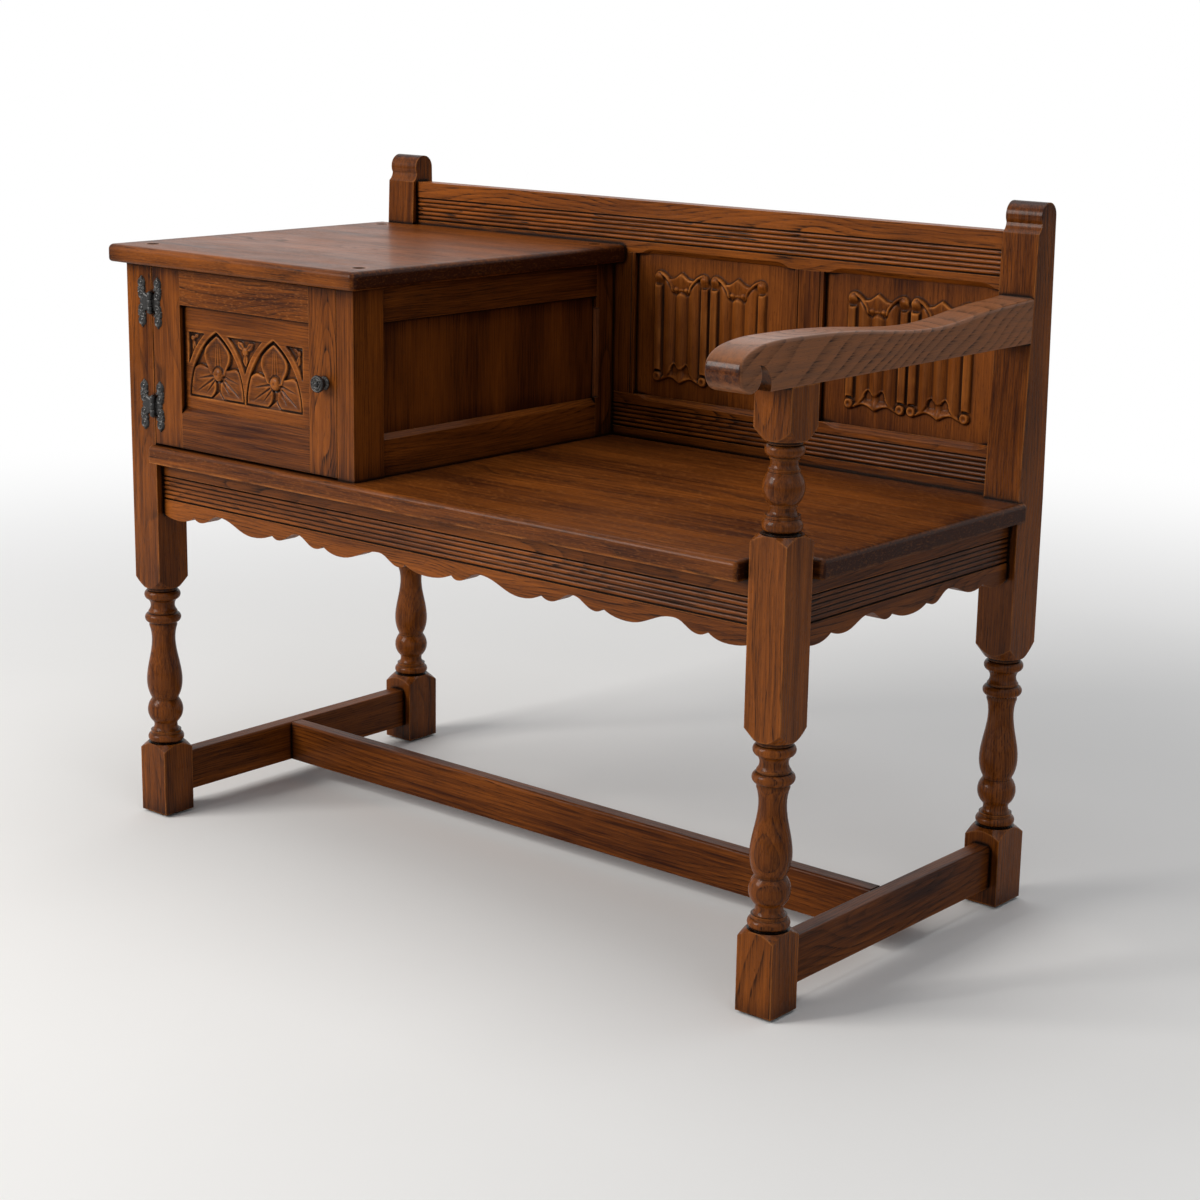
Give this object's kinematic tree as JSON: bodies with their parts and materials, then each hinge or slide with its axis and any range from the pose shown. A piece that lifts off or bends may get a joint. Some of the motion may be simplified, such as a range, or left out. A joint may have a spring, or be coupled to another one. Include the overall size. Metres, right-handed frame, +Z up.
{
  "type": "telephone bench",
  "caption": "Oak telephone bench: seat with a scrolled arm, turned legs, reeded scalloped aprons, linenfold back panels and a table-top cupboard with a carved door.",
  "frame": {"origin": "on the floor, under the middle of the bench's bounding box", "axes": "+X along the seat towards the arm, +Y towards the back, +Z up"},
  "size_m": [0.963, 0.5446, 0.768],
  "materials": {
    "oak": "warm mid-brown waxed oak with darker stain in the grooves",
    "dark_wood": "dark stained hardwood plug",
    "black_iron": "blackened iron, worn bright on the high places",
    "dark_screws": "blackened domed screws",
    "steel_screws": "plain steel",
    "dark_glide": "dark brown matt glide"
  },
  "bodies": {
    "frame": {"front_left_leg": "oak", "front_right_leg": "oak", "back_left_post": "oak", "back_right_post": "oak", "glides": "dark_glide", "left_stretcher": "oak", "right_stretcher": "oak", "centre_stretcher": "oak", "front_apron": "oak", "right_apron": "oak", "left_apron": "oak", "back_apron": "oak", "seat_board": "oak", "back_top_rail": "oak", "back_bottom_rail": "oak", "left_muntin": "oak", "centre_muntin": "oak", "left_back_panel": "oak", "middle_linenfold_panel": "oak", "right_linenfold_panel": "oak", "arm": "oak", "cabinet_top": "oak", "cabinet_front_post": "oak", "cabinet_right_back_stile": "oak", "cabinet_right_top_rail": "oak", "cabinet_right_bottom_rail": "oak", "cabinet_right_panel": "oak", "cabinet_left_top_rail": "oak", "cabinet_left_bottom_rail": "oak", "cabinet_left_panel": "oak", "top_plugs": "dark_wood", "top_screws": "steel_screws", "hinge_post_leaves": "black_iron", "hinge_pins": "black_iron", "post_leaf_screws": "dark_screws"},
    "door": {"door_hinge_stile": "oak", "door_lock_stile": "oak", "door_top_rail": "oak", "door_bottom_rail": "oak", "door_panel": "oak", "knob": "black_iron", "hinge_door_leaves": "black_iron", "door_leaf_screws": "dark_screws"}
  },
  "joints": [
    {"name": "door_hinge", "type": "hinge", "parent": "frame", "child": "door", "pos_m": [-0.4218, -0.19685, 0.56], "axis": [0, 0, -1], "range_deg": [0, 175]}
  ]
}
